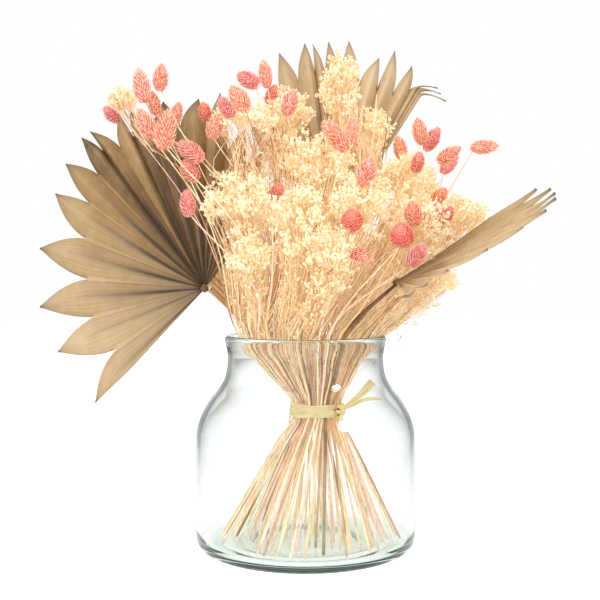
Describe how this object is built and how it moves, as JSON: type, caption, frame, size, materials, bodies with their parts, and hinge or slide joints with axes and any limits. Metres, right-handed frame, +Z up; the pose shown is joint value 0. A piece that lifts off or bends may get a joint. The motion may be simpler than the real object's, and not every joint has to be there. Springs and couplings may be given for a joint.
{
  "type": "vase of dried flowers",
  "caption": "Clear glass vase holding a raffia-tied bunch of dried palm fans, pink canary grass heads and cream broom sprays.",
  "frame": {"origin": "centre of the vase's flat underside", "axes": "+Z up; -Y towards the viewer of the picture; +X to that viewer's right"},
  "size_m": [0.4402, 0.2824, 0.4594],
  "materials": {
    "glass": "clear, faintly green",
    "raffia": "matt",
    "palm_leaf": "matt, dry",
    "canary_grass": "matt, dyed",
    "broom": "matt, bleached"
  },
  "bodies": {
    "root": {"vase": "glass", "raffia_tie": "raffia", "palm_leaf_left": "palm_leaf", "palm_leaf_back": "palm_leaf", "palm_leaf_right": "palm_leaf", "broom_01": "broom", "broom_02": "broom", "broom_03": "broom", "broom_04": "broom", "broom_05": "broom", "broom_06": "broom", "broom_07": "broom", "broom_08": "broom", "broom_09": "broom", "broom_10": "broom", "broom_11": "broom", "phalaris_01": "canary_grass", "phalaris_02": "canary_grass", "phalaris_03": "canary_grass", "phalaris_04": "canary_grass", "phalaris_05": "canary_grass", "phalaris_06": "canary_grass", "phalaris_07": "canary_grass", "phalaris_08": "canary_grass", "phalaris_09": "canary_grass", "phalaris_10": "canary_grass", "phalaris_11": "canary_grass", "phalaris_12": "canary_grass", "phalaris_13": "canary_grass", "phalaris_14": "canary_grass", "phalaris_15": "canary_grass", "phalaris_16": "canary_grass", "phalaris_17": "canary_grass", "phalaris_18": "canary_grass", "phalaris_19": "canary_grass", "phalaris_20": "canary_grass", "phalaris_21": "canary_grass", "phalaris_22": "canary_grass", "phalaris_23": "canary_grass", "phalaris_24": "canary_grass", "phalaris_25": "canary_grass", "phalaris_26": "canary_grass", "phalaris_27": "canary_grass", "phalaris_28": "canary_grass", "phalaris_29": "canary_grass", "phalaris_30": "canary_grass", "phalaris_31": "canary_grass", "phalaris_32": "canary_grass", "phalaris_33": "canary_grass", "phalaris_34": "canary_grass", "phalaris_35": "canary_grass", "phalaris_36": "canary_grass", "phalaris_37": "canary_grass", "phalaris_38": "canary_grass", "phalaris_39": "canary_grass", "phalaris_40": "canary_grass", "phalaris_41": "canary_grass", "phalaris_42": "canary_grass", "phalaris_43": "canary_grass", "phalaris_44": "canary_grass"}
  },
  "joints": []
}
